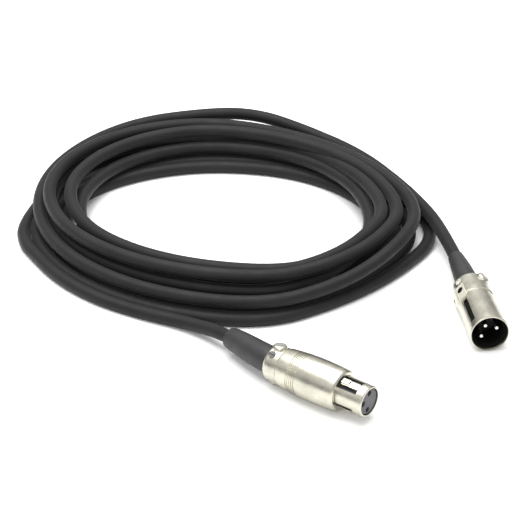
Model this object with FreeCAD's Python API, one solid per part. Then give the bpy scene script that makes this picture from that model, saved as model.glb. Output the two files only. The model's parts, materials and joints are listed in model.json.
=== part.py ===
import FreeCAD, Part
import math
import os

# A coil of jacketed microphone cable with a three-pole female connector on one end and a
# three-pole male connector on the other. Sizes are in millimetres.
# The coil is laid out as it is looked at: X to the right, Y away, Z up from the floor, with the
# coil's middle at the start. At the end everything is turned about Z, so that the male connector
# points along -Y, and moved so that the middle of the whole outline is at the origin.

os.makedirs("parts", exist_ok=True)
V = FreeCAD.Vector
UP = V(0, 0, 1)
AHEAD = V(1, 0, 0)

# Cable and coil
CABLE = 6.8            # outer diameter of the jacket
FLAT = 0.5             # how far the bottom turns are pressed flat on the floor
LAYER = 7.6            # from one layer of turns to the next
BED = CABLE / 2 - FLAT
FRONT_X = 17.0         # where the turns reach furthest forward
LEFT_Y = 10.0          # where the turns reach furthest to the left
BACK_X = -8.0
RIGHT_Y = -14.0
FIRST_LEFT_Y = 8.0     # the outermost turn bulges a little nearer the front
GAP_STEP = 2.0         # spacing of the points on which the gap between turns is measured

# How far each turn reaches to the left, back, right and front, each with its layer
TURNS = [
    ((112.5, 0), (89.3, 0), (111.8, 0), (105.2, 0)),
    ((104.4, 0), (80.4, 0), (98.6, 0), (97.5, 0)),
    ((96.9, 0), (72.6, 0), (90.8, 0), (89.8, 0)),
    ((89.2, 0), (64.8, 0), (83.0, 0), (70.0, 0.7)),
    ((82.0, 1), (74.6, 1), (76.0, 1.35), (86.5, 1)),
    ((92.7, 1), (82.4, 1), (83.6, 2.25), (77.0, 2.1)),
    ((88.0, 2.1), (81.0, 2.4), (96.8, 2.2), (84.8, 2.1)),
    ((100.2, 2.1), (91.2, 2.1), (104.6, 2.05), (99.5, 1)),
    ((103.0, 1), (100.3, 2.15)),
]

# Connectors: both point forward along their own X, with X = 0 where the boot enters the clamp
FEMALE_AT = (23.7, -152.8)
FEMALE_TURN = -37.6
MALE_AT = (126.7, -81.2)
MALE_TURN = -81.7
SNUG = 0.05            # a contact in its hole
FIT = 0.2              # a sleeve or an insert in its housing
EDGE = 0.4             # small chamfers

# The plug that both connectors share
NOSE_D = 15.9          # the female nose, which enters the male shell
NOSE_WALL = 1.0
PIN_D = 2.36
PIN_ROOT_D = 3.0       # the pin is thicker where the insert holds it
PIN_INSET = 3.55       # from the outside of the nose to the middle of a contact
PIN_CIRCLE_R = NOSE_D / 2 - PIN_INSET
SOCKET_PLAY = 0.03     # between a contact pin and its socket, on the radius
CONTACT_WALL = 0.24
CONTACT_R = PIN_D / 2 + SOCKET_PLAY + CONTACT_WALL
CUP_BORE = 1.9         # solder cup
CUP_DEPTH = 5.0
JACKET_END = 6.0       # the jacket is stripped this far inside the connector
CORE_D = 1.5
DRAIN_D = 0.9
CORE_OFFSET = 1.7      # of each core from the middle of the jacket
SCREW_D = 2.2
SCREW_HEAD_D = 3.6
SCREW_HEAD = 1.0
SLOT_WIDTH = 0.6

# Clamp at the rear of both connectors, with two lugs and two screws
CLAMP_ROUND = 2.0      # of its rear edge
LUG_RISE = 1.5         # above the clamp
LUG_D = 7.4
LUG_ROUND = 1.8
CLAMP_SCREW_X = 3.6
CLAMP_SCREW_D = 2.4
CLAMP_HEAD_D = 3.8
CLAMP_HEAD_DEPTH = 1.1

# Boot: the bend relief that is plugged into the clamp
BOOT_PLUG = 4.0        # how far it is plugged in
BOOT_PLAY = 0.15       # in the clamp
BOOT_BORE_PLAY = 0.3   # round the jacket
BOOT_STEPS = 8

# Female connector
F_BOOT_R = 7.0
F_BOOT_MOUTH_R = 4.6
F_BOOT_LENGTH = 30.0
F_CLAMP = 8.5
F_CLAMP_R = 9.2
F_BODY_END = 43.6
F_BODY_D = 22.0        # where the barrel of the body is fattest
F_FATTEST = 29.0
F_BARREL_R = 162.0     # of the barrel's outline along the axis
F_BODY_REAR_BORE_R = NOSE_D / 2 - NOSE_WALL + SNUG
F_NOSE_END = 58.7
NOSE_START = 29.5
GROOVES = 5
GROOVE_FIRST = 15.5
GROOVE_PITCH = 1.25
GROOVE_WIDTH = 0.55
GROOVE_DEPTH = 0.35
F_INSERT_START = 18.0
F_INSERT_END = 57.2
F_CONTACT_START = 13.0
F_CONTACT_MOUTH = 56.6
SOCKET_DEPTH = 14.0
SLIT = 0.3
SLIT_LENGTH = 7.0
PAD = 0.9
PAD_EDGE = 0.3
F_CORNER_ANGLE = 171.0     # contact 3, seen from the front, from the right and up
LATCH_ANGLE = 106.5
LATCH_WIDTH = 3.6
LATCH_START = 44.5
LATCH_END = 54.0
LATCH_GAP = 0.4            # at the two ends of the tongue
LATCH_SLOT = 2.2           # the slot on each side of it
LATCH_PAD_LENGTH = 4.0
LATCH_PAD_WIDTH = 2.8
LATCH_PAD_RISE = 0.7
POCKET_DEPTH = 1.1         # of the flat that the latch swings into, under the insert's surface
LEAF_WIDTH = 2.4
LEAF_THICK = 0.25
LEAF_RISE = 0.5
KEY_SLOT_ANGLE = 206.0
KEY_SLOT_WIDTH = 2.2
KEY_SLOT_END = 53.5
KEYWAY_DEPTH = 1.0         # in the insert under the key slot
F_SCREW_X = 25.0
F_SCREW_ANGLE = 306.0
F_SCREW_IN = 3.0
F_LUG_ANGLE = 84.0
F_CLAMP_SCREW_ANGLE = 122.0

# Male connector
M_BOOT_R = 6.2
M_BOOT_MOUTH_R = 4.2
M_BOOT_LENGTH = 31.0
M_CLAMP = 8.0
M_CLAMP_R = 9.5
M_CAVITY_D = NOSE_D + 0.3
M_WALL = 1.4
M_SHELL_D = M_CAVITY_D + 2 * M_WALL
M_MOUTH_D = M_SHELL_D + 1.4    # the shell widens a little towards its mouth
M_SLEEVE_D = M_SHELL_D + 0.8   # and has a thicker sleeve at its rear
M_SLEEVE_END = 16.5
M_RIM = 0.7                    # the wall at the edge of the mouth
M_FLARE = 4.0                  # how deep the cavity narrows from the mouth
M_SHELL_END = 45.9
M_INSERT_START = 10.5
M_INSERT_HOLLOW = 17.0
M_INSERT_RIM = 1.2
M_INSERT_END = 30.0
M_PIN_START = 13.0
M_PIN_END = 44.7
M_CORNER_ANGLE = 118.0
M_KEY_ANGLE = 142.0
KEY_START = 21.0
KEY_END = 41.5
KEY_WIDTH = 3.6
KEY_DEPTH = 0.7
GROOVE_EDGE = 0.4              # the groove outside is this much narrower than the key inside
KEY_GROOVE_DEPTH = 1.0
BOSS_START = 8.5
BOSS_END = 20.0
BOSS_WIDTH = 5.2
BOSS_RISE = 0.9
M_SCREW_X = 12.5
M_SCREW_IN = 1.9
M_LUG_ANGLE = 50.0
M_CLAMP_SCREW_ANGLE = 139.0

# Routes of the two free stretches, from behind the straight piece in the boot to near the coil
F_STRAIGHT = 4.0       # how far behind the clamp the cable still runs along the connector's axis
M_STRAIGHT = 24.0
FEMALE_ROUTE = [
    (3.0, -130.5, 7.6),
    (-17.0, -112.8, 3.4),
    (-43.0, -100.2, BED),
    (-68.0, -84.8, BED),
    (-89.5, -61.5, BED),
    (-106.3, -35.0, BED),
]
MALE_ROUTE = [
    (116.5, -24.0, 10.4),
    (110.5, -3.0, 10.9),
    (97.0, 28.0, 10.9),
    (75.0, 65.0, 11.4),
    (42.0, 88.5, 15.4),
]
F_LAST_RUN = 13.0      # straight run that meets the coil
M_LAST_RUN = 18.7
FLOOR_SIZE = 1000.0    # a block under the floor, for the flat of the bottom turns


def turned(outline):
    """A solid turned about the connector's axis from its outline of (along, radius) points.

    A point that holds a third value is passed by an arc from the point before to the next.
    """
    corners = [V(point[0], 0, point[1]) for point in outline + outline[:1]]
    edges = []
    k = 0
    while k < len(outline):
        if k + 1 < len(outline) and len(outline[k + 1]) == 3:
            edges.append(Part.Arc(corners[k], corners[k + 1], corners[k + 2]).toShape())
            k += 2
        else:
            edges.append(Part.LineSegment(corners[k], corners[k + 1]).toShape())
            k += 1
    return Part.Face(Part.Wire(edges)).revolve(V(0, 0, 0), AHEAD, 360)


def rod(x0, x1, radius, y=0.0, z=0.0):
    return Part.makeCylinder(radius, x1 - x0, V(x0, y, z), AHEAD)


def block(x0, x1, half_width, low, high, angle):
    """A block along the axis between two heights, turned to its place round the axis."""
    shape = Part.makeBox(x1 - x0, 2 * half_width, high - low, V(x0, -half_width, low))
    return about(shape, angle)


def about(shape, angle):
    """Turn a shape that stands straight up from the axis to an angle counted from the right."""
    shape.rotate(V(0, 0, 0), AHEAD, angle - 90)
    return shape


def on_circle(angle):
    turn = math.radians(angle)
    return (PIN_CIRCLE_R * math.cos(turn), PIN_CIRCLE_R * math.sin(turn))


def contact_places(corner):
    """The three contacts: 1 and 2 opposite each other, 3 at the right angle between them."""
    return [on_circle(corner - 90), on_circle(corner + 90), on_circle(corner)]


def quarter(start, heading, end, leaving):
    """Two arcs that join smoothly, from one heading to the next."""
    way = end - start
    both = heading + leaving
    a = both.dot(both) - 4
    b = -2 * way.dot(both)
    c = way.dot(way)
    reach = (-b - math.sqrt(b * b - 4 * a * c)) / (2 * a)
    first = start + heading * reach
    second = end - leaving * reach
    middle = (first + second) * 0.5
    return [arc(start, first, middle), arc(middle, second, end)]


def arc(start, corner, end):
    """The arc that leaves start and reaches end along the two legs that meet at the corner."""
    chord = (start + end) * 0.5
    rise = corner - chord
    half = (end - start).Length / 2
    bend = math.atan2(rise.Length, half)
    top = chord + rise * (half * math.tan(bend / 2) / rise.Length)
    return Part.Arc(start, top, end).toShape()


def coil_extremes():
    """The places where the turns reach furthest out, each with the cable's heading there."""
    places = []
    for number, turn in enumerate(TURNS):
        left_y = FIRST_LEFT_Y if number == 0 else LEFT_Y
        sides = [
            (lambda r: (-r, left_y), V(0, 1, 0)),
            (lambda r: (BACK_X, r), V(1, 0, 0)),
            (lambda r: (r, RIGHT_Y), V(0, -1, 0)),
            (lambda r: (FRONT_X, -r), V(-1, 0, 0)),
        ]
        for (spot, heading), (reach, layer) in zip(sides, turn):
            x, y = spot(reach)
            places.append((V(x, y, BED + LAYER * layer), heading))
    return places


def coil_path():
    places = coil_extremes()
    first, heading = places[0]
    edges = [Part.LineSegment(first - heading * CABLE, first).toShape()]
    for (start, going), (end, leaving) in zip(places, places[1:]):
        edges += quarter(start, going, end, leaving)
    last, heading = places[-1]
    edges.append(Part.LineSegment(last, last + heading * CABLE).toShape())
    return edges


def least_gap(edges):
    """The least space between two turns, measured between points along the cable."""
    points = []
    along = 0.0
    marks = []
    for edge in edges:
        count = max(2, round(edge.Length / GAP_STEP) + 1)
        for k, point in enumerate(edge.discretize(Number=count)[:-1]):
            points.append((point.x, point.y, point.z))
            marks.append(along + edge.Length * k / (count - 1))
        along += edge.Length
    least = 1e9
    near = 2 * math.pi * CABLE
    for i, (x, y, z) in enumerate(points):
        for j in range(i + 1, len(points)):
            if marks[j] - marks[i] < near:
                continue
            u, v, w = points[j]
            if abs(u - x) < LAYER + GAP_STEP and abs(v - y) < LAYER + GAP_STEP:
                least = min(least, math.dist((x, y, z), (u, v, w)))
    return least - CABLE, along


def tube(edges, diameter):
    wire = Part.Wire(edges)
    start = edges[0].firstVertex().Point
    ring = Part.Circle(start, edges[0].tangentAt(edges[0].FirstParameter), diameter / 2)
    return wire.makePipeShell([Part.Wire(ring.toShape())], True, False)


def route(points):
    """Straight runs joined by arcs that are as large as the two runs beside them allow."""
    points = [V(*p) for p in points]
    edges = []
    radii = []
    at = points[0]
    for before, corner, after in zip(points, points[1:], points[2:]):
        into = (corner - before).normalize()
        out = (after - corner).normalize()
        leg = 0.45 * min((corner - before).Length, (after - corner).Length)
        half_turn = into.getAngle(out) / 2
        radii.append(leg / math.tan(half_turn))
        start = corner - into * leg
        end = corner + out * leg
        edges.append(Part.LineSegment(at, start).toShape())
        edges.append(arc(start, corner, end))
        at = end
    edges.append(Part.LineSegment(at, points[-1]).toShape())
    return edges, radii


def station(edges, length):
    """The point and the heading at a length along a path."""
    for edge in edges:
        if length <= edge.Length:
            break
        length -= edge.Length
    parameter = edge.getParameterByLength(min(length, edge.Length))
    return edge.valueAt(parameter), edge.tangentAt(parameter)


def off_the_floor(shape):
    below = Part.makeBox(FLOOR_SIZE, FLOOR_SIZE, CABLE, V(-FLOOR_SIZE / 2, -FLOOR_SIZE / 2, -CABLE))
    return shape.cut(below)


def boot(edges, plug_radius, mouth_radius, length):
    """A tapered rubber sleeve along the cable, plugged into the clamp."""
    rings = []
    for k in range(BOOT_STEPS + 1):
        radius = plug_radius + (mouth_radius - plug_radius) * k / BOOT_STEPS
        point, heading = station(edges, JACKET_END + length * k / BOOT_STEPS)
        rings.append(Part.Wire(Part.Circle(point, heading, radius).toShape()))
    point, heading = station(edges, JACKET_END - BOOT_PLUG)
    rings.insert(0, Part.Wire(Part.Circle(point, heading, plug_radius).toShape()))
    body = Part.makeLoft(rings, True, True)
    return body.cut(tube(edges, CABLE + 2 * BOOT_BORE_PLAY))


def core(mouth, place, angle, diameter):
    """One core from the end of the jacket into the solder cup of its contact."""
    y, z = place
    turn = math.radians(angle)
    near = (CORE_OFFSET * math.cos(turn), CORE_OFFSET * math.sin(turn))
    third = (mouth - JACKET_END) / 3
    points = [
        (JACKET_END, *near),
        (JACKET_END + third, *near),
        (JACKET_END + 2 * third, y, z),
        (JACKET_END + 3 * third + CUP_DEPTH - 1, y, z),
    ]
    edges, radii = route(points)
    return tube(edges, diameter)


def screw(x, angle, low, high, diameter, head_diameter, head):
    """A slotted screw that points at the axis, from its tip to the top of its head."""
    shank = Part.makeCylinder(diameter / 2, high - head - low, V(x, 0, low), UP)
    cap = Part.makeCylinder(head_diameter / 2, head, V(x, 0, high - head), UP)
    slot = Part.makeBox(head_diameter, SLOT_WIDTH, head / 2,
                        V(x - head_diameter / 2, -SLOT_WIDTH / 2, high - head / 2))
    return about(shank.fuse(cap).cut(slot).removeSplitter(), angle)


def clamp(length, radius, boot_radius, lug_angle, screw_angle):
    """The strain relief collar, round at its rear edge, with its two lugs and its two screws."""
    bore = boot_radius + BOOT_PLAY
    corner = CLAMP_ROUND * (1 - math.sqrt(0.5))
    collar = turned([
        (0, bore), (0, radius - CLAMP_ROUND), (corner, radius - corner, "arc"),
        (CLAMP_ROUND, radius), (length - EDGE, radius), (length, radius - EDGE), (length, bore),
    ])
    middle = length / 2
    for angle in (lug_angle, lug_angle + 180):
        base = (bore + radius) / 2
        lug = Part.makeCylinder(LUG_D / 2, radius + LUG_RISE - base, V(middle, 0, base), UP)
        top = max(lug.Edges, key=lambda edge: edge.CenterOfMass.z)
        collar = collar.fuse(about(lug.makeFillet(LUG_ROUND, [top]), angle))
    screws = []
    x = CLAMP_SCREW_X
    for angle in (screw_angle, screw_angle + 180):
        seat = radius - CLAMP_HEAD_DEPTH
        recess = Part.makeCylinder(CLAMP_HEAD_D / 2 + FIT, radius, V(x, 0, seat), UP)
        hole = Part.makeCylinder(CLAMP_SCREW_D / 2 + SNUG, radius, V(x, 0, 0), UP)
        collar = collar.cut(about(recess.fuse(hole), angle))
        head = CLAMP_HEAD_DEPTH - 2 * SNUG
        screws.append(screw(x, angle, bore + SNUG, seat + head, CLAMP_SCREW_D, CLAMP_HEAD_D, head))
    return collar.removeSplitter(), Part.makeCompound(screws)


def barrel(x):
    """The radius of the female body at a place along its axis."""
    return F_BODY_D / 2 - F_BARREL_R + math.sqrt(F_BARREL_R ** 2 - (x - F_FATTEST) ** 2)


def female_shell():
    """The barrel-shaped body: bored for the insert at the rear and for the nose in front."""
    bore = NOSE_D / 2 + FIT
    step = NOSE_START - FIT
    rear = F_CLAMP + EDGE
    front = F_BODY_END - 2 * EDGE
    body = turned([
        (F_CLAMP, F_BODY_REAR_BORE_R), (F_CLAMP, barrel(rear) - EDGE), (rear, barrel(rear)),
        (F_FATTEST, F_BODY_D / 2, "arc"), (front, barrel(front)),
        (F_BODY_END, barrel(front) - 2 * EDGE), (F_BODY_END, bore), (step, bore),
        (step, F_BODY_REAR_BORE_R),
    ])
    for k in range(GROOVES):
        x = GROOVE_FIRST + k * GROOVE_PITCH
        bottom = barrel(x) - GROOVE_DEPTH
        body = body.cut(turned([
            (x, F_BODY_D), (x, bottom), (x + GROOVE_WIDTH, bottom), (x + GROOVE_WIDTH, F_BODY_D),
        ]))
    hole = Part.makeCylinder(SCREW_D / 2 + SNUG, F_BODY_D, V(F_SCREW_X, 0, 0), UP)
    seat = F_BODY_D / 2 - SCREW_HEAD - EDGE
    recess = Part.makeCylinder(SCREW_HEAD_D / 2 + SNUG, F_BODY_D, V(F_SCREW_X, 0, seat), UP)
    return body.cut(about(hole.fuse(recess), F_SCREW_ANGLE))


def female_nose():
    """The plated sleeve with the window of the latch and the key slot."""
    radius = NOSE_D / 2
    sleeve = turned([
        (NOSE_START, radius - NOSE_WALL), (NOSE_START, radius), (F_NOSE_END - EDGE, radius),
        (F_NOSE_END, radius - EDGE), (F_NOSE_END, radius - NOSE_WALL),
    ])
    window = block(F_BODY_END, LATCH_END + LATCH_GAP, LATCH_WIDTH / 2 + LATCH_SLOT, 0, radius + 1,
                   LATCH_ANGLE)
    slot = block(F_BODY_END, KEY_SLOT_END, KEY_SLOT_WIDTH / 2, 0, radius + 1, KEY_SLOT_ANGLE)
    return sleeve.cut(window).cut(slot)


def female_latch():
    """The tongue: a strip of the sleeve's own curve with a raised pad at its free end."""
    radius = NOSE_D / 2
    strip = rod(LATCH_START, LATCH_END, radius).cut(rod(LATCH_START, LATCH_END, radius - NOSE_WALL))
    strip = strip.common(block(LATCH_START, LATCH_END, LATCH_WIDTH / 2, 0, radius + 1, LATCH_ANGLE))
    top = radius + LATCH_PAD_RISE
    pad = rod(LATCH_START, LATCH_START + LATCH_PAD_LENGTH, top)
    pad = pad.cut(rod(LATCH_START, LATCH_START + LATCH_PAD_LENGTH, radius - NOSE_WALL / 2))
    pad = pad.common(block(LATCH_START, LATCH_END, LATCH_PAD_WIDTH / 2, 0, top + 1, LATCH_ANGLE))
    return strip.fuse(pad).removeSplitter()


def female_insert_radius():
    return NOSE_D / 2 - NOSE_WALL - FIT


def female_insert():
    """The moulded block: three contact holes, the flat under the latch and the keyway."""
    radius = female_insert_radius()
    body = turned([
        (F_INSERT_START, 0), (F_INSERT_START, radius - EDGE), (F_INSERT_START + EDGE, radius),
        (F_INSERT_END, radius), (F_INSERT_END, 0),
    ])
    for y, z in contact_places(F_CORNER_ANGLE):
        body = body.cut(rod(F_INSERT_START - 1, F_INSERT_END + 1, CONTACT_R + SNUG, y, z))
    pocket = block(LATCH_START - LATCH_GAP, LATCH_END + LATCH_GAP, LATCH_WIDTH / 2 + LATCH_SLOT,
                   radius - POCKET_DEPTH, radius + 1, LATCH_ANGLE)
    keyway = block(F_BODY_END, KEY_SLOT_END, KEY_SLOT_WIDTH / 2, radius - KEYWAY_DEPTH, radius + 1,
                   KEY_SLOT_ANGLE)
    hole = Part.makeCylinder(SCREW_D / 2 + SNUG, radius, V(F_SCREW_X, 0, radius - F_SCREW_IN - SNUG), UP)
    return body.cut(pocket).cut(keyway).cut(about(hole, F_SCREW_ANGLE))


def female_contact(place):
    """A socket with two slits at its mouth and a solder cup at its rear."""
    y, z = place
    bore = PIN_D / 2 + SOCKET_PLAY
    body = rod(F_CONTACT_START, F_CONTACT_MOUTH, CONTACT_R, y, z)
    body = body.cut(rod(F_CONTACT_MOUTH - SOCKET_DEPTH, F_CONTACT_MOUTH + 1, bore, y, z))
    body = body.cut(rod(F_CONTACT_START - 1, F_CONTACT_START + CUP_DEPTH, CUP_BORE / 2, y, z))
    slit = Part.makeBox(SLIT_LENGTH + 1, 4 * CONTACT_R, SLIT,
                        V(F_CONTACT_MOUTH - SLIT_LENGTH, y - 2 * CONTACT_R, z - SLIT / 2))
    return body.cut(slit)


def female_face_pad():
    """The thin soft ring of material on the face, with a hole over each socket."""
    radius = female_insert_radius() - PAD_EDGE
    pad = rod(F_INSERT_END, F_INSERT_END + PAD, radius)
    for y, z in contact_places(F_CORNER_ANGLE):
        pad = pad.cut(rod(F_INSERT_END - 1, F_NOSE_END, CONTACT_R + SNUG, y, z))
    return pad


def female_latch_spring():
    """A leaf that lies on the floor of the pocket and rises to push the tongue out."""
    length = LATCH_END - LATCH_START
    foot = female_insert_radius() - POCKET_DEPTH
    tip = foot + LEAF_RISE
    x = LATCH_START + SLIT
    outline = Part.makePolygon([
        V(x + length - 2, 0, foot), V(x + length - 2, 0, foot + LEAF_THICK),
        V(x + length / 2, 0, foot + LEAF_THICK), V(x, 0, tip), V(x, 0, tip - LEAF_THICK),
        V(x + length / 2, 0, foot), V(x + length - 2, 0, foot),
    ])
    leaf = Part.Face(outline).extrude(V(0, LEAF_WIDTH, 0))
    leaf.translate(V(0, -LEAF_WIDTH / 2, 0))
    return about(leaf, LATCH_ANGLE)


def male_shell():
    """The body: it widens to its open mouth, with a pressed key and a boss for a screw."""
    radius = M_SHELL_D / 2
    mouth = M_MOUTH_D / 2
    sleeve = M_SLEEVE_D / 2
    bore = M_CAVITY_D / 2
    body = turned([
        (M_CLAMP, bore), (M_CLAMP, sleeve - EDGE), (M_CLAMP + EDGE, sleeve),
        (M_SLEEVE_END - EDGE, sleeve), (M_SLEEVE_END, radius), (M_SHELL_END - EDGE, mouth), (M_SHELL_END, mouth - EDGE), (M_SHELL_END, mouth - M_RIM),
        (M_SHELL_END - M_FLARE, bore),
    ])
    top = radius + BOSS_RISE
    boss = block(BOSS_START, BOSS_END, BOSS_WIDTH / 2, bore + EDGE, top, M_KEY_ANGLE)
    rib = block(KEY_START, KEY_END, KEY_WIDTH / 2, bore - KEY_DEPTH, bore + EDGE, M_KEY_ANGLE)
    groove = block(KEY_START, KEY_END, KEY_WIDTH / 2 - GROOVE_EDGE, radius - KEY_GROOVE_DEPTH,
                   mouth + 1, M_KEY_ANGLE)
    hole = Part.makeCylinder(SCREW_D / 2 + SNUG, radius, V(M_SCREW_X, 0, 0), UP)
    recess = Part.makeCylinder(SCREW_HEAD_D / 2 + SNUG, radius, V(M_SCREW_X, 0, top - SCREW_HEAD), UP)
    body = body.fuse(boss).fuse(rib).cut(groove)
    return body.cut(about(hole.fuse(recess), M_KEY_ANGLE)).removeSplitter()


def male_insert():
    """The moulded block that holds the pins, with a keyway over the pressed key."""
    radius = M_CAVITY_D / 2 - FIT / 2
    body = turned([
        (M_INSERT_START, 0), (M_INSERT_START, radius - EDGE), (M_INSERT_START + EDGE, radius),
        (M_INSERT_END, radius), (M_INSERT_END, 0),
    ])
    hollow = rod(M_CLAMP, M_INSERT_HOLLOW, radius - M_INSERT_RIM)
    keyway = block(KEY_START - FIT, M_INSERT_END + 1, KEY_WIDTH / 2 + FIT, radius - KEY_DEPTH - FIT / 2,
                   radius + 1, M_KEY_ANGLE)
    body = body.cut(hollow).cut(keyway)
    for y, z in contact_places(M_CORNER_ANGLE):
        body = body.cut(rod(M_INSERT_START, M_INSERT_END + 1, PIN_ROOT_D / 2 + SNUG, y, z))
    hole = Part.makeCylinder(SCREW_D / 2 + SNUG, radius, V(M_SCREW_X, 0, 0), UP)
    return body.cut(about(hole, M_KEY_ANGLE))


def male_pin(place):
    """A contact pin with a rounded tip, a thicker root in the insert and a solder cup."""
    y, z = place
    radius = PIN_D / 2
    body = rod(M_PIN_START, M_INSERT_END, PIN_ROOT_D / 2, y, z)
    body = body.fuse(rod(M_INSERT_END, M_PIN_END - radius, radius, y, z))
    tip = Part.makeSphere(radius, V(M_PIN_END - radius, y, z), AHEAD, 0, 90, 360)
    cup = rod(M_PIN_START - 1, M_PIN_START + CUP_DEPTH, CUP_BORE / 2, y, z)
    return body.fuse(tip).cut(cup).removeSplitter()


def female_parts():
    """Every piece of the female connector in its own frame."""
    collar, screws = clamp(F_CLAMP, F_CLAMP_R, F_BOOT_R, F_LUG_ANGLE, F_CLAMP_SCREW_ANGLE)
    places = contact_places(F_CORNER_ANGLE)
    tip = female_insert_radius() - F_SCREW_IN
    parts = {
        "female_clamp": collar,
        "female_clamp_screws": screws,
        "female_shell": female_shell(),
        "female_nose": female_nose(),
        "female_latch": female_latch(),
        "female_latch_spring": female_latch_spring(),
        "female_insert": female_insert(),
        "female_face_pad": female_face_pad(),
        "female_insert_screw": screw(F_SCREW_X, F_SCREW_ANGLE, tip, F_BODY_D / 2 - EDGE, SCREW_D,
                                     SCREW_HEAD_D, SCREW_HEAD),
        "female_shield_drain": core(F_CONTACT_START, places[0], F_CORNER_ANGLE - 90, DRAIN_D),
        "female_core_live": core(F_CONTACT_START, places[1], F_CORNER_ANGLE + 90, CORE_D),
        "female_core_return": core(F_CONTACT_START, places[2], F_CORNER_ANGLE, CORE_D),
    }
    for number, place in enumerate(places, 1):
        parts[f"female_contact_{number}"] = female_contact(place)
    return parts


def male_parts():
    """Every piece of the male connector in its own frame."""
    collar, screws = clamp(M_CLAMP, M_CLAMP_R, M_BOOT_R, M_LUG_ANGLE, M_CLAMP_SCREW_ANGLE)
    places = contact_places(M_CORNER_ANGLE)
    parts = {
        "male_clamp": collar,
        "male_clamp_screws": screws,
        "male_shell": male_shell(),
        "male_insert": male_insert(),
        "male_insert_screw": screw(M_SCREW_X, M_KEY_ANGLE, M_CAVITY_D / 2 - M_SCREW_IN,
                                   M_SHELL_D / 2 + BOSS_RISE - SNUG, SCREW_D, SCREW_HEAD_D,
                                   SCREW_HEAD - SNUG),
        "male_shield_drain": core(M_PIN_START, places[0], M_CORNER_ANGLE - 90, DRAIN_D),
        "male_core_live": core(M_PIN_START, places[1], M_CORNER_ANGLE + 90, CORE_D),
        "male_core_return": core(M_PIN_START, places[2], M_CORNER_ANGLE, CORE_D),
    }
    for number, place in enumerate(places, 1):
        parts[f"male_pin_{number}"] = male_pin(place)
    return parts


def connector_place(at, axis_height, turn):
    return FreeCAD.Placement(V(at[0], at[1], axis_height), FreeCAD.Rotation(UP, turn))


def cable_parts(female_place, male_place):
    """The coil, the two free stretches and the boots that sit on them."""
    coil_edges = coil_path()
    gap, length = least_gap(coil_edges)
    print(f"coil: length {length:.0f}, least gap between turns {gap:.2f}")
    parts = {"cable_coil": off_the_floor(tube(coil_edges, CABLE))}
    start = coil_edges[0].firstVertex().Point
    end = coil_edges[-1].lastVertex().Point
    jacket_end = V(JACKET_END, 0, 0)
    for side, place, straight, points, near, last, sleeve in (
        ("female", female_place, F_STRAIGHT, FEMALE_ROUTE, start - V(0, F_LAST_RUN, 0), start,
         (F_BOOT_R, F_BOOT_MOUTH_R, F_BOOT_LENGTH)),
        ("male", male_place, M_STRAIGHT, MALE_ROUTE, end + V(M_LAST_RUN, 0, 0), end,
         (M_BOOT_R, M_BOOT_MOUTH_R, M_BOOT_LENGTH)),
    ):
        behind = place.multVec(V(-straight, 0, 0))
        edges, radii = route([place.multVec(jacket_end), behind, *points, near, last])
        lead = tube(edges, CABLE)
        length = sum(edge.Length for edge in edges)
        share = lead.Volume / (math.pi * CABLE ** 2 / 4 * length)
        print(f"{side} lead: length {length:.1f}, volume share {share:.4f}, radii",
              [round(radius) for radius in radii])
        parts[f"cable_lead_{side}"] = off_the_floor(lead)
        parts[f"{side}_boot"] = boot(edges, *sleeve)
    return parts


female_place = connector_place(FEMALE_AT, F_BODY_D / 2, FEMALE_TURN)
male_place = connector_place(MALE_AT, M_MOUTH_D / 2, MALE_TURN)
shapes = cable_parts(female_place, male_place)
for place, pieces in ((female_place, female_parts()), (male_place, male_parts())):
    for name, shape in pieces.items():
        shape.Placement = place.multiply(shape.Placement)
        shapes[name] = shape

# Turn the whole so that the male connector points along -Y, and centre it on its outline
TOWARDS_THE_FRONT = -90
square = FreeCAD.Placement(V(0, 0, 0), FreeCAD.Rotation(UP, TOWARDS_THE_FRONT - MALE_TURN))
for shape in shapes.values():
    shape.Placement = square.multiply(shape.Placement)
outline = FreeCAD.BoundBox()
for shape in shapes.values():
    outline.add(shape.optimalBoundingBox(False, False))
centre = V(-outline.Center.x, -outline.Center.y, -outline.ZMin)
print(f"moved by {centre.x:.3f} {centre.y:.3f} {centre.z:.3f}",
      f"to an outline of {outline.XLength:.1f} x {outline.YLength:.1f} x {outline.ZLength:.1f}")
for name, shape in shapes.items():
    shape.translate(centre)
    shape.exportStep(f"parts/{name}.step")
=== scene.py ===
import bpy
import json
import math
from bisect import bisect_right
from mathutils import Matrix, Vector


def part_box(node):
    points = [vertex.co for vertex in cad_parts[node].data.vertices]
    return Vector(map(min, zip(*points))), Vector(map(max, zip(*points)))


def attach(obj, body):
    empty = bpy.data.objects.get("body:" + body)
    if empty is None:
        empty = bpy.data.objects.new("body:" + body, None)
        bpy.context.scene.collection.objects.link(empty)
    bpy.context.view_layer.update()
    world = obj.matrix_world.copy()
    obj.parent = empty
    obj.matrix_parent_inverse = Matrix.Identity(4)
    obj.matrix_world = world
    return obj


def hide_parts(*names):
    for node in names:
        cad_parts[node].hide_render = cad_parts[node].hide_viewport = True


# The looks of a coiled microphone cable with its two connectors, in metres.
# The cable is laid out in millimetres in the camera's own layout: X to the right, Y away, Z up
# from the floor. spot() turns and moves a place of that layout to where the frame has it.

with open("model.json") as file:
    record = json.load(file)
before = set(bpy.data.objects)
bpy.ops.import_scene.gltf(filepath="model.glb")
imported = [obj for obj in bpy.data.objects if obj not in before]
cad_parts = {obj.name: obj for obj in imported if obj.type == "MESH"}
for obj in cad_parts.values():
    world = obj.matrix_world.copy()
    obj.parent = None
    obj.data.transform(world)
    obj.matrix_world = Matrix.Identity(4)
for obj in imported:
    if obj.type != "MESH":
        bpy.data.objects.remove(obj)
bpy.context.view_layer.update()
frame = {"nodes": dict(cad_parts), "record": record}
nodes = frame["nodes"]
BODY = "cable"

MM = 0.001
UP = Vector((0, 0, 1))

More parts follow.
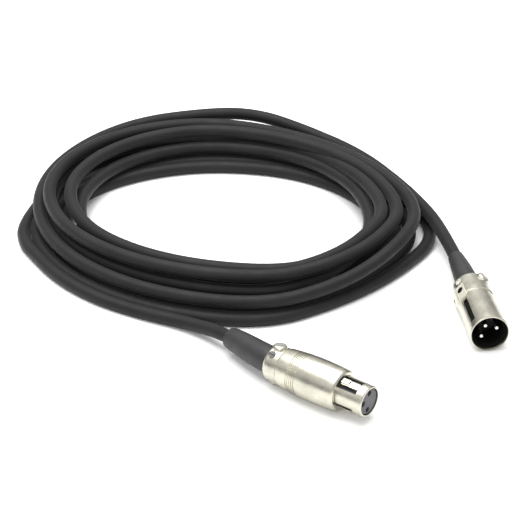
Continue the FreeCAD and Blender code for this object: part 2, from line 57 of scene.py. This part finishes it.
# Cable
CABLE = 6.8            # outer diameter of the jacket, which sets how the turns are piled
DRAWN = 7.0            # its diameter as it is drawn, nearer to what the photograph shows
FLAT = 0.5             # how far the bottom turns are pressed flat on the floor
CABLE_SIDES = 28
SMOOTHNESS = 12        # points of the smooth line from one control point to the next

# Coil
LAYER = 7.6            # from one layer of turns to the next
BED = CABLE / 2 - FLAT
LEFT_Y = 6.0           # where the turns reach furthest to the left
LOW_TURNS = 2
LOW_LEFT_Y = -4.0      # the same of the two lowest turns
BACK_X = -8.0          # and furthest back
RIGHT_Y = -14.0        # and furthest to the right
STEPS = 3              # control points to a quarter of a turn
OUTSIDE = 1 / math.cos(math.pi / 4 / STEPS)    # how far outside the turn they stand

# How far each turn reaches to the left, back, right and front, each with its layer
TURNS = [
    ((109.8, 0), (89.3, 0), (112.6, 0), (103.5, 0)),
    ((105.8, 0), (80.4, 0), (101.0, 0), (96.5, 0)),
    ((98.5, 0), (72.6, 0), (92.6, 0), (89.4, 0)),
    ((89.6, 0), (64.8, 0), (84.4, 0), (72.2, 0.7)),
    ((81.0, 1), (74.6, 1), (77.6, 1.35), (86.0, 1)),
    ((97.4, 1), (84.0, 1), (84.5, 2.25), (79.0, 2.1)),
    ((86.6, 2.1), (79.0, 2.15), (92.9, 2.2), (85.4, 2.1)),
    ((98.3, 2.1), (88.0, 2.1), (102.9, 2.05), (97.8, 1)),
    ((104.2, 1.1), (99.0, 2.15)),
]

# The X at which each turn reaches furthest to the front
FRONTS = (17.0, 17.0, 17.0, 17.0, 17.0, 27.0, 20.0, 17.0)

# How far each turn bulges out against an ellipse, from left to back, from back to right, from
# right to front and from front to left
BULGES = [
    (0.995, 0.97, 0.86, 0.97),
    (0.975, 0.985, 0.875, 0.992),
    (0.955, 1.0, 0.88, 1.0),
    (0.98, 1.02, 0.95, 1.03),
    (1.0, 1.0, 0.97, 0.98),
    (1.05, 0.947, 0.915, 1.0),
    (1.0, 0.955, 0.93, 0.985),
    (1.02, 0.925, 0.93, 0.985),
    (1.03,),
]

# Connectors: the rear end of each one's clamp on its axis, and which way it points in degrees
FEMALE_AT = (23.7, -152.8, 11.0)
FEMALE_TURN = -37.6
MALE_AT = (126.7, -81.2, 10.2)
MALE_TURN = -81.7
JACKET_END = 6.0       # the jacket ends this far inside the connector
PIN_TIP = 44.7         # the contact pins end this far in front of the clamp's rear

# Parts of the male shell with painted shade or painted light, from the clamp's rear and the axis
M_RECESS_START = 9.0   # the recesses and the inside are painted near-black as shade between these two
M_RECESS_END = 45.5
M_RECESS_R = 9.2       # and within this radius
M_HOLE_R = 1.88        # radius of the hole of its insert screw, which is painted near-black as shade too
M_BOSS_END = 20.5      # the boss round that hole, painted lighter as lit, ends here
M_BOSS_R = 10.0        # and stands out of this radius

# Routes of the two free stretches between the connectors and the coil
F_STRAIGHT = 4.0       # each starts straight behind its connector, as far as this
M_STRAIGHT = 24.0
FEMALE_ROUTE = [
    (0.5, -123.5, 8.2),
    (-18.5, -106.0, 3.6),
    (-43.0, -95.0, BED),
    (-68.0, -80.5, BED),
    (-90.0, -58.5, BED),
    (-105.4, -32.0, BED),
]
MALE_ROUTE = [
    (116.5, -24.0, 10.4),
    (110.5, -3.0, 10.9),
    (97.0, 28.0, 10.9),
    (75.0, 65.0, 11.4),
    (42.0, 88.5, 15.4),
]
F_LAST_RUN = 13.0      # the last point before the coil is this far and one diameter from it
M_LAST_RUN = 18.7

# Boots: radius at the clamp and at the mouth, and length outside the clamp
FEMALE_BOOT = (7.0, 5.7, 32.5)
MALE_BOOT = (6.2, 4.2, 31.0)
BOOT_PLUG = 4.0        # length inside the clamp
BOOT_EDGE = 0.4        # chamfer at that end
BOOT_SWELL = 0.35      # how far a boot swells halfway along
LIP = 0.8              # length over which its mouth is rounded
LIP_FALL = 0.6         # and how far in
MOUTH_DEPTH = 0.3      # how deep the mouth is hollow
PLUG_PLAY = 0.05       # between the jacket and the boot inside the clamp
MOUTH_PLAY = 0.02      # and at the mouth
BOOT_RINGS = 24
LIP_RINGS = 5
BOOT_SIDES = 48

# The camera, in the same layout
CAMERA_AT = (18.0, -1084.0, 617.0)
CAMERA_DOWN = 30.5
IMAGE = 521
FOCAL_PIXELS = 2254
SENSOR = 36.0
NEAREST_SEEN = 0.05    # in metres

ROW_TURN = -90 - MALE_TURN    # the frame has the male connector along -Y

# Metals: light and dark colour, smoothest and roughest, and waves of the cast grain to a metre
METALS = {
    "nickel_plating": ((0.68, 0.66, 0.56), (0.48, 0.465, 0.39), 0.26, 0.38, 1800),
    "screw_steel": ((0.14, 0.14, 0.135), (0.08, 0.08, 0.08), 0.35, 0.5, 2600),
    "spring_steel": ((0.6, 0.6, 0.6), (0.5, 0.5, 0.5), 0.3, 0.4, 2600),
    "contact_plating": ((0.9, 0.89, 0.86), (0.78, 0.77, 0.73), 0.16, 0.26, 2600),
    "drain_copper": ((0.8, 0.5, 0.3), (0.62, 0.36, 0.2), 0.3, 0.45, 2600),
    # painted shade: near-black dull metal for the male shell's recesses, inside, screw hole and
    # insert screw
    "dull_plating": ((0.03, 0.03, 0.028), (0.015, 0.015, 0.014), 0.6, 0.8, 1800),
    # painted light: a lighter, rougher copy of the shell's plating for the boss and the clamp
    # screws
    "cast_plating": ((0.85, 0.83, 0.74), (0.72, 0.7, 0.6), 0.6, 0.75, 1800),
}

# Plastics: light and dark colour, and roughness
PLASTICS = {
    "female_insert_plastic": ((0.035, 0.035, 0.037), (0.022, 0.022, 0.023), 0.5),
    "male_insert_plastic": ((0.012, 0.012, 0.012), (0.007, 0.007, 0.007), 0.55),
    "pad_rubber": ((0.11, 0.11, 0.115), (0.08, 0.08, 0.085), 0.6),
    "core_red": ((0.5, 0.05, 0.04), (0.4, 0.035, 0.03), 0.4),
    "core_white": ((0.8, 0.8, 0.78), (0.7, 0.7, 0.68), 0.4),
}
UNEVEN = 0.06          # how far a plastic's roughness goes to either side

# Materials of the male shell: most of it, its parts painted near-black as shade, and the boss,
# painted lighter as lit
SHELL_LOOKS = ("nickel_plating", "dull_plating", "cast_plating")

# Floor and light
FLOOR_LOOK = ((0.93, 0.93, 0.93), (0.92, 0.92, 0.92), 0.8)
FLOOR_HALF = 3.0
FLOOR_DROP = 0.00005   # it lies this far under the flat faces of the bottom turns

# Lights: place, width and height in metres, and power in watts
LIGHTS = {
    "overhead": ((-0.15, 0.25, 1.5), (1.6, 1.2), 34),
    "front": ((-0.5, -1.6, 1.1), (1.2, 0.8), 9),
}
SKY = ((0.0, 0.16), (0.2, 0.3), (0.42, 1.0), (1.0, 1.0))
SKY_STRENGTH = 0.8


# From the layout to the frame


def turned(x, y):
    turn = math.radians(ROW_TURN)
    return (x * math.cos(turn) - y * math.sin(turn), x * math.sin(turn) + y * math.cos(turn))


def frame_shift():
    """How far the frame lies from the turned layout, from two pins on either side of the axis."""
    low_1, high_1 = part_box("male_pin_1")
    low_2, high_2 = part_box("male_pin_2")
    axis_x = (low_1.x + high_1.x + low_2.x + high_2.x) / 4
    x, y = turned(MALE_AT[0], MALE_AT[1])
    return (axis_x / MM - x, low_1.y / MM + PIN_TIP - y)


SHIFT = frame_shift()


def spot(x, y, z):
    """A place of the layout, in the frame's metres."""
    x, y = turned(x, y)
    return Vector(((x + SHIFT[0]) * MM, (y + SHIFT[1]) * MM, z * MM))


def on_axis(at, turn, along):
    """A place on a connector's axis, in the layout."""
    turn = math.radians(turn)
    return (at[0] + along * math.cos(turn), at[1] + along * math.sin(turn), at[2])


def on_connector(place, at, turn):
    """How far along a connector's axis a place is, and how far from it."""
    origin = spot(*at)
    axis = (spot(*on_axis(at, turn, 1)) - origin).normalized()
    away = place - origin
    along = away.dot(axis)
    return along / MM, (away - axis * along).length / MM


def link(thing):
    bpy.context.scene.collection.objects.link(thing)


# Camera


def make_camera():
    data = bpy.data.cameras.new("camera")
    data.sensor_width = SENSOR
    data.lens = FOCAL_PIXELS / IMAGE * SENSOR
    data.clip_start = NEAREST_SEEN
    camera = bpy.data.objects.new("camera", data)
    link(camera)
    camera.location = spot(*CAMERA_AT)
    camera.rotation_euler = (math.radians(90 - CAMERA_DOWN), 0, math.radians(ROW_TURN))
    bpy.context.scene.camera = camera


# Route of the cable


def smooth(share):
    return share * share * (3 - 2 * share)


def coil_extremes():
    """The places where the turns reach furthest out, each with the cable's heading there."""
    places = []
    for number, turn in enumerate(TURNS):
        left_y = LOW_LEFT_Y if number < LOW_TURNS else LEFT_Y
        (left, a), (back, b) = turn[:2]
        places.append((Vector((-left, left_y, BED + LAYER * a)), Vector((0, 1, 0))))
        places.append((Vector((BACK_X, back, BED + LAYER * b)), Vector((1, 0, 0))))
        if len(turn) == 4:
            (right, c), (front, d) = turn[2:]
            places.append((Vector((right, RIGHT_Y, BED + LAYER * c)), Vector((0, -1, 0))))
            places.append((Vector((FRONTS[number], -front, BED + LAYER * d)), Vector((-1, 0, 0))))
    return places


def coil_points():
    """Control points of all the turns, on quarter ellipses from one extreme to the next."""
    places = coil_extremes()
    points = []
    before = None
    bulges = [bulge for turn in BULGES for bulge in turn]
    for (start, _), (end, leaving), bulge in zip(places, places[1:], bulges):
        centre = start + leaving * (end - start).dot(leaving)
        centre.z = 0
        for k in range(STEPS):
            turn = math.pi / 2 * k / STEPS
            out = (start - centre) * math.cos(turn) + (end - centre) * math.sin(turn)
            point = centre + out * OUTSIDE * (bulge if k else 1)
            if k == 0 and before is not None:
                point = (point + before) / 2
            point.z = start.z + (end.z - start.z) * smooth(k / STEPS)
            points.append(point)
        before = centre + (end - centre) * OUTSIDE
    before.z = places[-1][0].z
    return points + [before]


def cable_points():
    """Control points of the whole cable, from the female connector to the male one."""
    places = coil_extremes()
    start, start_heading = places[0]
    end, end_heading = places[-1]
    points = [
        on_axis(FEMALE_AT, FEMALE_TURN, JACKET_END),
        on_axis(FEMALE_AT, FEMALE_TURN, -F_STRAIGHT),
        *FEMALE_ROUTE,
        start - start_heading * (CABLE + F_LAST_RUN),
        *coil_points(),
        end + end_heading * (CABLE + M_LAST_RUN),
        *MALE_ROUTE[::-1],
        on_axis(MALE_AT, MALE_TURN, -M_STRAIGHT),
        on_axis(MALE_AT, MALE_TURN, JACKET_END),
    ]
    return [spot(*point) for point in points]


def centreline(points):
    """The points of the smooth line that the control points give."""
    curve = bpy.data.curves.new("cable_route", "CURVE")
    curve.dimensions = "3D"
    spline = curve.splines.new("NURBS")
    spline.points.add(len(points) - 1)
    for place, point in zip(spline.points, points):
        place.co = (*point, 1)
    spline.order_u = 3
    spline.use_endpoint_u = True
    spline.resolution_u = SMOOTHNESS
    route = bpy.data.objects.new("cable_route", curve)
    mesh = bpy.data.meshes.new_from_object(route)
    line = [vertex.co.copy() for vertex in mesh.vertices]
    bpy.data.objects.remove(route)
    bpy.data.meshes.remove(mesh)
    bpy.data.curves.remove(curve)
    return line


class Line:
    """A line of points with the length, heading and upward direction at each."""

    def __init__(self, points):
        self.points = points
        self.marks = [0.0]
        for a, b in zip(points, points[1:]):
            self.marks.append(self.marks[-1] + (b - a).length)
        self.length = self.marks[-1]
        self.frames = []
        for k in range(len(points)):
            heading = points[min(k + 1, len(points) - 1)] - points[max(k - 1, 0)]
            heading.normalize()
            side = heading.cross(UP).normalized()
            self.frames.append((heading, side, side.cross(heading)))

    def at(self, length):
        """Point, sideways and upward direction at a length along the line."""
        k = min(bisect_right(self.marks, length), len(self.marks) - 1) - 1
        share = (length - self.marks[k]) / (self.marks[k + 1] - self.marks[k])
        point = self.points[k].lerp(self.points[k + 1], share)
        _, side, rise = (a.lerp(b, share).normalized()
                         for a, b in zip(self.frames[k], self.frames[k + 1]))
        return point, side, rise


# Cable and boots


def ring(point, side, rise, radius, sides):
    places = []
    for k in range(sides):
        turn = 2 * math.pi * k / sides
        places.append(point + (side * math.cos(turn) + rise * math.sin(turn)) * radius)
    return places


def rings_mesh(name, rings, lengths):
    """A skin over rings of points, with closed ends and the running length as its UV."""
    sides = len(rings[0])
    vertices = [point for places in rings for point in places]
    faces = []
    uvs = []
    for row in range(len(rings) - 1):
        for k in range(sides):
            a = row * sides + k
            b = row * sides + (k + 1) % sides
            faces.append((a, b, b + sides, a + sides))
            uvs += [(lengths[row], k / sides), (lengths[row], (k + 1) / sides),
                    (lengths[row + 1], (k + 1) / sides), (lengths[row + 1], k / sides)]
    faces.append(tuple(range(sides))[::-1])
    faces.append(tuple(range(len(vertices) - sides, len(vertices))))
    uvs += [(lengths[0], 0.0)] * sides + [(lengths[-1], 0.0)] * sides
    mesh = bpy.data.meshes.new(name)
    mesh.from_pydata(vertices, [], faces)
    layer = mesh.uv_layers.new(name="length")
    for loop, uv in zip(layer.data, uvs):
        loop.uv = uv
    for polygon in mesh.polygons:
        polygon.use_smooth = len(polygon.vertices) == 4
    piece = bpy.data.objects.new(name, mesh)
    link(piece)
    return piece


def make_cable(line):
    """The jacket from connector to connector, flat where it is pressed on the floor."""
    rings = [ring(point, side, rise, DRAWN / 2 * MM, CABLE_SIDES)
             for point, (_, side, rise) in zip(line.points, line.frames)]
    for places in rings:
        for place in places:
            place.z = max(place.z, 0.0)
    cable = rings_mesh("microphone_cable", rings, line.marks)
    cable.data.materials.append(jacket_material())
    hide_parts("cable_coil", "cable_lead_female", "cable_lead_male")
    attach(cable, BODY)
    return cable


def boot_profile(sizes):
    """The places of a boot's outline along the cable, each with its radius."""
    plug_radius, mouth_radius, length = sizes
    profile = [
        (0.0, DRAWN / 2 + PLUG_PLAY),
        (0.0, plug_radius - BOOT_EDGE),
        (BOOT_EDGE, plug_radius),
    ]
    for k in range(1, BOOT_RINGS + 1):
        share = k / BOOT_RINGS
        swell = BOOT_SWELL * math.sin(math.pi * share)
        radius = plug_radius + (mouth_radius - plug_radius) * share + swell
        profile.append((BOOT_PLUG + share * (length - LIP), radius))
    for k in range(1, LIP_RINGS + 1):
        turn = math.pi / 2 * k / LIP_RINGS
        profile.append((BOOT_PLUG + length - LIP + LIP * math.sin(turn),
                        mouth_radius - LIP_FALL * (1 - math.cos(turn))))
    profile.append((BOOT_PLUG + length - MOUTH_DEPTH, DRAWN / 2 + MOUTH_PLAY))
    return profile


def make_boot(name, node, line, sizes, from_end):
    """A tapered rubber sleeve on the cable, with a rounded lip at its mouth."""
    rings = []
    lengths = []
    for along, radius in boot_profile(sizes):
        station = (JACKET_END - BOOT_PLUG + along) * MM
        point, side, rise = line.at(line.length - station if from_end else station)
        places = ring(point, side, rise, radius * MM, BOOT_SIDES)
        rings.append(places if from_end else places[::-1])
        lengths.append(along * MM)
    boot = rings_mesh(name, rings, lengths)
    boot.data.materials.append(boot_material())
    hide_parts(node)
    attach(boot, BODY)
    return boot


# Materials


def set_stops(ramp, stops):
    """Give a colour ramp its stops, each a place from 0 to 1 with a colour or a grey."""
    elements = ramp.color_ramp.elements
    while len(elements) < len(stops):
        elements.new(0.5)
    for element, (position, colour) in zip(elements, stops):
        element.position = position
        element.color = (*colour, 1) if isinstance(colour, tuple) else (colour, colour, colour, 1)


class Shade:
    """A material with its shader and short ways to add nodes to it."""

    def __init__(self, name, metallic):
        self.material = bpy.data.materials.new(name)
        self.material.use_nodes = True
        self.tree = self.material.node_tree
        self.shader = self.tree.nodes["Principled BSDF"]
        self.place = self.tree.nodes.new("ShaderNodeTexCoord").outputs["Object"]
        self.put("Metallic", metallic)

    def put(self, name, value):
        self.shader.inputs[name].default_value = value

    def noise(self, scale, detail, roughness=0.5):
        """Uneven values from 0 to 1, at so many waves to a metre."""
        node = self.tree.nodes.new("ShaderNodeTexNoise")
        node.inputs["Scale"].default_value = scale
        node.inputs["Detail"].default_value = detail
        node.inputs["Roughness"].default_value = roughness
        self.tree.links.new(self.place, node.inputs["Vector"])
        return node.outputs["Fac"]

    def ramp(self, source, *stops):
        node = self.tree.nodes.new("ShaderNodeValToRGB")
        set_stops(node, stops)
        self.tree.links.new(source, node.inputs["Fac"])
        return node.outputs["Color"]

    def bump(self, source, strength, distance, after=None):
        node = self.tree.nodes.new("ShaderNodeBump")
        node.inputs["Strength"].default_value = strength
        node.inputs["Distance"].default_value = distance
        self.tree.links.new(source, node.inputs["Height"])
        if after is not None:
            self.tree.links.new(after, node.inputs["Normal"])
        return node.outputs["Normal"]

    def to(self, source, name):
        self.tree.links.new(source, self.shader.inputs[name])


def jacket_material():
    """Matt black, with a fine grain on soft waves."""
    shade = Shade("jacket", metallic=0.0)
    shade.put("Specular IOR Level", 0.22)
    shade.put("Sheen Weight", 0.06)
    shade.put("Sheen Roughness", 0.5)
    dark = (0.0075, 0.0075, 0.008)
    light = (0.013, 0.013, 0.0135)
    shade.to(shade.ramp(shade.noise(45, 4), (0.3, dark), (0.75, light)), "Base Color")
    shade.to(shade.ramp(shade.noise(160, 5, 0.6), (0.3, 0.52), (0.7, 0.64)), "Roughness")
    grain = shade.bump(shade.noise(2600, 2), strength=0.25, distance=0.00004)
    waves = shade.bump(shade.noise(120, 2), strength=0.15, distance=0.0004, after=grain)
    shade.to(waves, "Normal")
    return shade.material


def boot_material():
    """Satin black, a little lighter than the jacket."""
    shade = Shade("boot_rubber", metallic=0.0)
    dark = (0.014, 0.014, 0.0145)
    light = (0.026, 0.026, 0.027)
    shade.to(shade.ramp(shade.noise(60, 4), (0.3, dark), (0.75, light)), "Base Color")
    shade.to(shade.ramp(shade.noise(300, 4), (0.3, 0.5), (0.7, 0.64)), "Roughness")
    shade.to(shade.bump(shade.noise(3000, 3), strength=0.3, distance=0.00004), "Normal")
    return shade.material


def metal_material(name, light, dark, smoothest, roughest, grain):
    """Plated metal: cloudy colour, uneven gloss and a fine cast grain."""
    shade = Shade(name, metallic=1.0)
    gloss = ((0.3, smoothest), (0.7, roughest))
    shade.to(shade.ramp(shade.noise(110, 6, 0.65), (0.3, dark), (0.7, light)), "Base Color")
    shade.to(shade.ramp(shade.noise(240, 5, 0.6), *gloss), "Roughness")
    waves = shade.bump(shade.noise(160, 2), strength=0.2, distance=0.0003)
    cast = shade.bump(shade.noise(grain, 3), strength=0.25, distance=0.00005, after=waves)
    shade.to(cast, "Normal")
    return shade.material


def plastic_material(name, light, dark, roughness):
    """A dull surface with faint clouds and a fine grain."""
    shade = Shade(name, metallic=0.0)
    gloss = ((0.3, roughness - UNEVEN), (0.7, roughness + UNEVEN))
    shade.to(shade.ramp(shade.noise(90, 4), (0.3, dark), (0.7, light)), "Base Color")
    shade.to(shade.ramp(shade.noise(400, 3), *gloss), "Roughness")
    shade.to(shade.bump(shade.noise(2500, 2), strength=0.2, distance=0.00004), "Normal")
    return shade.material


def dress(node, *looks):
    """Give a CAD node these materials."""
    materials = nodes[node].data.materials
    materials.clear()
    for look in looks:
        materials.append(look)


def finish_male_shell():
    """The male shell gets dull plating painted near-black as shade in its recesses, its inside
    and its screw hole, and the boss of its screw gets a rougher plating painted lighter as lit.
    """
    low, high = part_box("male_insert_screw")
    screw_at = (low + high) / 2
    screw_along, _ = on_connector(screw_at, MALE_AT, MALE_TURN)
    outward = (screw_at - spot(*on_axis(MALE_AT, MALE_TURN, screw_along))).normalized()
    shell = nodes["male_shell"]
    for polygon in shell.data.polygons:
        place = shell.matrix_world @ polygon.center
        along, away = on_connector(place, MALE_AT, MALE_TURN)
        from_screw = place - screw_at
        rise = from_screw.dot(outward)
        in_hole = rise > 0 and (from_screw - outward * rise).length / MM < M_HOLE_R
        in_recess = M_RECESS_START < along < M_RECESS_END and away < M_RECESS_R
        # faces in the screw hole or the recesses get painted shade, faces of the boss get painted
        # light
        if in_hole or in_recess:
            polygon.material_index = SHELL_LOOKS.index("dull_plating")
        elif along < M_BOSS_END and away > M_BOSS_R:
            polygon.material_index = SHELL_LOOKS.index("cast_plating")


def dress_nodes():
    """Give each CAD node that shows the material of its record slot, apart from a few."""
    looks = {name: metal_material(name, *values) for name, values in METALS.items()}
    looks.update({name: plastic_material(name, *values) for name, values in PLASTICS.items()})
    for part in frame["record"]["subparts"]:
        if part["material_slot"] in looks:
            dress(part["node"], looks[part["material_slot"]])
    # the insert screw sits in its hole and is painted near-black as shade
    dress("male_insert_screw", looks["dull_plating"])
    # the clamp screws get the rougher plating that is painted lighter as lit
    dress("male_clamp_screws", looks["cast_plating"])
    dress("male_shell", *(looks[name] for name in SHELL_LOOKS))
    finish_male_shell()


# Floor and light


def make_floor():
    mesh = bpy.data.meshes.new("floor")
    corners = [(x * FLOOR_HALF, y * FLOOR_HALF, -FLOOR_DROP)
               for x, y in ((-1, -1), (1, -1), (1, 1), (-1, 1))]
    mesh.from_pydata(corners, [], [(0, 1, 2, 3)])
    floor = bpy.data.objects.new("floor", mesh)
    link(floor)
    mesh.materials.append(plastic_material("floor", *FLOOR_LOOK))


def area_light(name, at, size, power):
    """A soft light that shines at the middle of the floor."""
    data = bpy.data.lights.new(name, "AREA")
    data.shape = "RECTANGLE"
    data.size, data.size_y = size
    data.energy = power
    light = bpy.data.objects.new(name, data)
    link(light)
    light.location = at
    light.rotation_euler = (-Vector(at)).to_track_quat("-Z", "Y").to_euler()


def make_world():
    """A bright sky over a darker horizon, so that the metal has something to mirror."""
    world = bpy.data.worlds.new("world")
    world.use_nodes = True
    tree = world.node_tree
    place = tree.nodes.new("ShaderNodeTexCoord")
    split = tree.nodes.new("ShaderNodeSeparateXYZ")
    ramp = tree.nodes.new("ShaderNodeValToRGB")
    set_stops(ramp, SKY)
    tree.links.new(place.outputs["Generated"], split.inputs["Vector"])
    tree.links.new(split.outputs["Z"], ramp.inputs["Fac"])
    background = tree.nodes["Background"]
    tree.links.new(ramp.outputs["Color"], background.inputs["Color"])
    background.inputs["Strength"].default_value = SKY_STRENGTH
    bpy.context.scene.world = world


def make_lights():
    for name, values in LIGHTS.items():
        area_light(name, *values)
    make_world()
    bpy.context.scene.view_settings.view_transform = "Standard"


make_camera()
line = Line(centreline(cable_points()))
cable = make_cable(line)
make_boot("female_bend_relief", "female_boot", line, FEMALE_BOOT, from_end=False)
male_boot = make_boot("male_bend_relief", "male_boot", line, MALE_BOOT, from_end=True)
dress_nodes()
make_floor()
make_lights()
